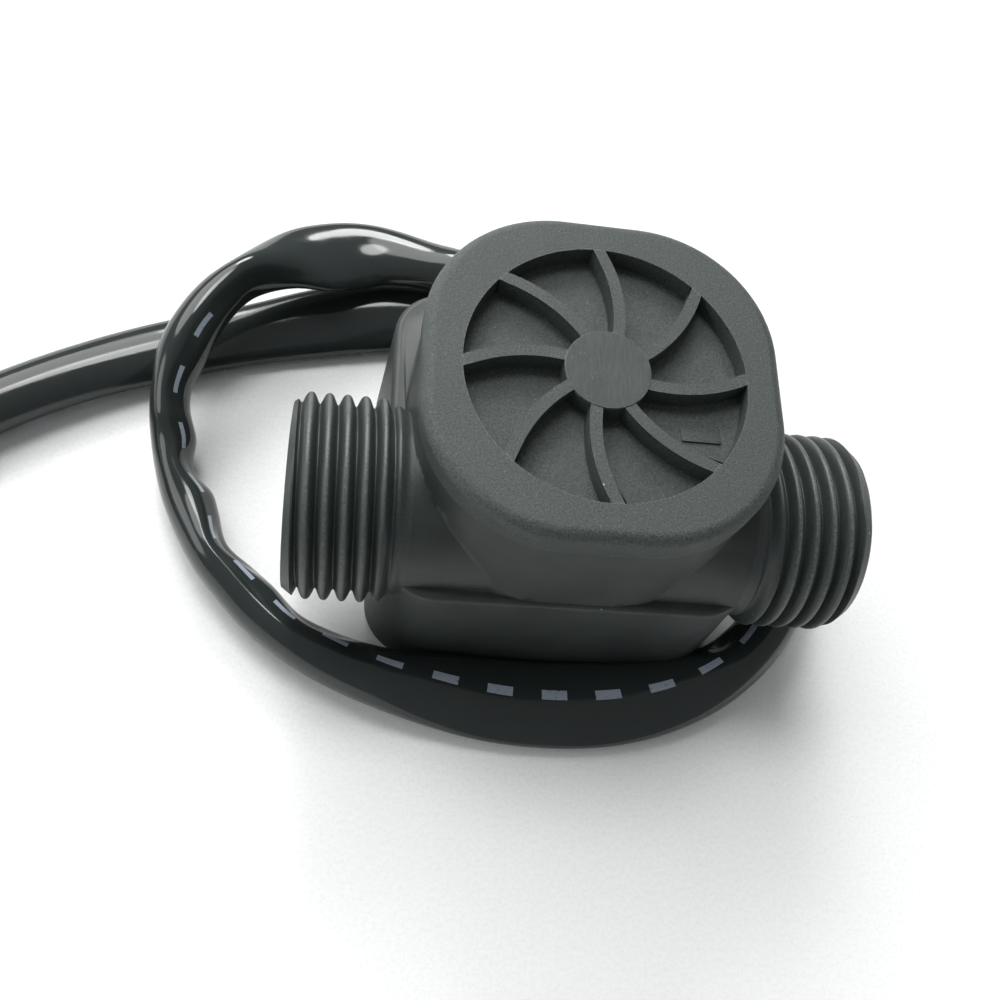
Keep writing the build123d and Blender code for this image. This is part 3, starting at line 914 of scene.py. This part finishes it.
def add_wedge():
    """Plain low wedge in the cap's recess, let into its floor at the back."""
    size_x, size_y, rise = BAR_SIZE
    middle = Vector((*BAR_PLACE, RECESS_FLOOR_Z + (rise - BAR_SUNK) / 2))
    bpy.ops.mesh.primitive_cube_add(size=1 * MM, location=middle * MM)
    bar = bpy.context.object
    bar.name = "plain_raised_bar"
    bar.scale = (size_x, size_y, rise + BAR_SUNK)
    settle(bar)
    pick_vertices(bar, lambda place: place.z > RECESS_FLOOR_Z and place.y > BAR_PLACE[1])
    edit(bar)
    bpy.ops.transform.translate(value=(0, 0, -(rise + BAR_BACK_DIP) * MM))
    leave()
    soften(bar, width_mm=0.06, segments=2)
    smooth(bar)
    return bar


def add_hub_disc():
    """Plain disc on the cap's hub, a little above its top."""
    bpy.ops.mesh.primitive_cylinder_add(
        vertices=96,
        radius=(HUB_RADIUS + HUB_DISC_OVERHANG) * MM,
        depth=HUB_DISC_THICKNESS * MM,
        location=(0, 0, (CAP_TOP_Z + HUB_DISC_RISE - HUB_DISC_THICKNESS / 2) * MM),
    )
    disc = bpy.context.object
    disc.name = "plain_hub_disc"
    settle(disc)
    soften(disc, width_mm=0.09, segments=3, degrees=30)
    smooth(disc, 35)
    even_shading(disc)
    return disc


# Light and floor

def add_floor():
    """Plain pale floor with a faint grain."""
    bpy.ops.mesh.primitive_plane_add(size=3.0, location=(0, 0, 0))
    floor = bpy.context.object
    floor.name = "pale_floor"
    finish = Finish("pale_floor", (0.9, 0.91, 0.9), 0.6)
    grain = finish.noise(0.5, detail=5.0, roughness=0.8)
    dim, bright = (0.87, 0.88, 0.875), (0.98, 0.985, 0.98)
    finish.colour(finish.mix(finish.ramp(grain, 0.38, 0.66), dim, bright))
    finish.bump(grain, depth_mm=0.1, strength=0.4)
    seen = finish.node("LightPath").outputs["Is Camera Ray"]
    extra = finish.node("BsdfDiffuse")
    finish.feed(extra.inputs["Color"], finish.math("MULTIPLY", seen, FLOOR_GAIN))
    both = finish.node("AddShader")
    finish.link(finish.shader.outputs["BSDF"], both.inputs[0])
    finish.link(extra.outputs["BSDF"], both.inputs[1])
    finish.link(both.outputs["Shader"], finish.tree.nodes["Material Output"].inputs["Surface"])
    floor.data.materials.append(finish.material)


def add_lights():
    world = bpy.data.worlds.new("white_room")
    scene.world = world
    world.use_nodes = True
    back = world.node_tree.nodes["Background"]
    back.inputs["Color"].default_value = (0.97, 0.99, 1.0, 1)
    back.inputs["Strength"].default_value = ROOM_LIGHT
    for name, way, width, watts in LAMPS:
        way = Vector(way).normalized()
        bpy.ops.object.light_add(type="AREA", location=way)
        lamp = bpy.context.object
        lamp.name = name
        lamp.rotation_euler = (-way).to_track_quat("-Z", "Y").to_euler()
        lamp.data.shape = "DISK"
        lamp.data.size = width
        lamp.data.energy = watts


add_camera()
sleeve, sleeve_line = add_sleeve()
housing = add_housing()
left_thread = add_thread("left_port_thread", end=-1, phase=0.53)
right_thread = add_thread("right_port_thread", end=1, phase=0.0)
cap = add_cap()
raised_bar = add_wedge()
hub_disc = add_hub_disc()

black_vinyl = plain_vinyl("black_wire_vinyl", (0.008, 0.008, 0.008), (0.015, 0.015, 0.015))
red_vinyl = plain_vinyl("red_wire_vinyl", (0.42, 0.015, 0.01), (0.62, 0.03, 0.02))
yellow_vinyl = plain_vinyl("yellow_wire_vinyl", (0.7, 0.45, 0.015), (0.88, 0.62, 0.03))
housing_plastic = housing_finish()
thread_plastic = thread_finish()
steel = plain_metal("ground_steel", (0.5, 0.5, 0.5), (0.68, 0.68, 0.67), 0.28)
contact_metal = plain_metal("tinned_contact", (0.55, 0.5, 0.4), (0.75, 0.68, 0.52), 0.3)
bush_metal = plain_metal("bush_brass", (0.55, 0.36, 0.13), (0.78, 0.58, 0.26), 0.3)
magnet_metal = plain_metal("magnet_plating", (0.45, 0.45, 0.46), (0.62, 0.62, 0.63), 0.22)
rotor_plastic = plain_plastic("rotor_plastic", (0.72, 0.72, 0.7), (0.84, 0.84, 0.81), 0.4)
seal_rubber = plain_plastic("seal_rubber", (0.018, 0.018, 0.018), (0.032, 0.032, 0.032), 0.75)
board_laminate = plain_plastic("board_laminate", (0.02, 0.13, 0.05), (0.04, 0.22, 0.09), 0.3, 0.5)
chip_plastic = plain_plastic("chip_plastic", (0.02, 0.02, 0.02), (0.04, 0.04, 0.04), 0.5)
ceramic = plain_plastic("ceramic", (0.42, 0.3, 0.19), (0.58, 0.45, 0.3), 0.45)
sealing_compound = plain_plastic(
    "sealing_compound", (0.012, 0.012, 0.012), (0.025, 0.025, 0.025), 0.35
)
socket_plastic = plain_plastic("socket_plastic", (0.018, 0.018, 0.019), (0.034, 0.034, 0.036), 0.45)

finish_piece(sleeve, sleeve_finish(), "housing")
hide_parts("cable_sleeve")
finish_piece(housing, housing_plastic, "housing")
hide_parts("main_housing")
for thread in (left_thread, right_thread):
    finish_piece(thread, thread_plastic, "housing")
cap_plastic = cap_finish()
for piece in (cap, raised_bar, hub_disc):
    finish_piece(piece, cap_plastic, "housing")
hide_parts("pinwheel_cap")

NODE_FINISHES = {
    "bottom_cover": housing_plastic,
    "cap_seal": seal_rubber,
    "cover_seal": seal_rubber,
    "rotor": rotor_plastic,
    "rotor_bush": bush_metal,
    "rotor_magnet_1": magnet_metal,
    "rotor_magnet_2": magnet_metal,
    "rotor_axle": steel,
    "lower_washer": steel,
    "upper_washer": steel,
    "cover_screw_1": steel,
    "cover_screw_2": steel,
    "cover_screw_3": steel,
    "cover_screw_4": steel,
    "sensor_board": board_laminate,
    "pickup_chip": chip_plastic,
    "board_capacitor": ceramic,
    "board_resistor": chip_plastic,
    "potting_fill": sealing_compound,
    "supply_lead": red_vinyl,
    "signal_lead": yellow_vinyl,
    "ground_lead": black_vinyl,
    "supply_wire": red_vinyl,
    "signal_wire": yellow_vinyl,
    "ground_wire": black_vinyl,
    "socket_housing": socket_plastic,
    "supply_terminal": contact_metal,
    "signal_terminal": contact_metal,
    "ground_terminal": contact_metal,
}
for name, material in NODE_FINISHES.items():
    set_material(nodes[name], material)

add_floor()
add_lights()
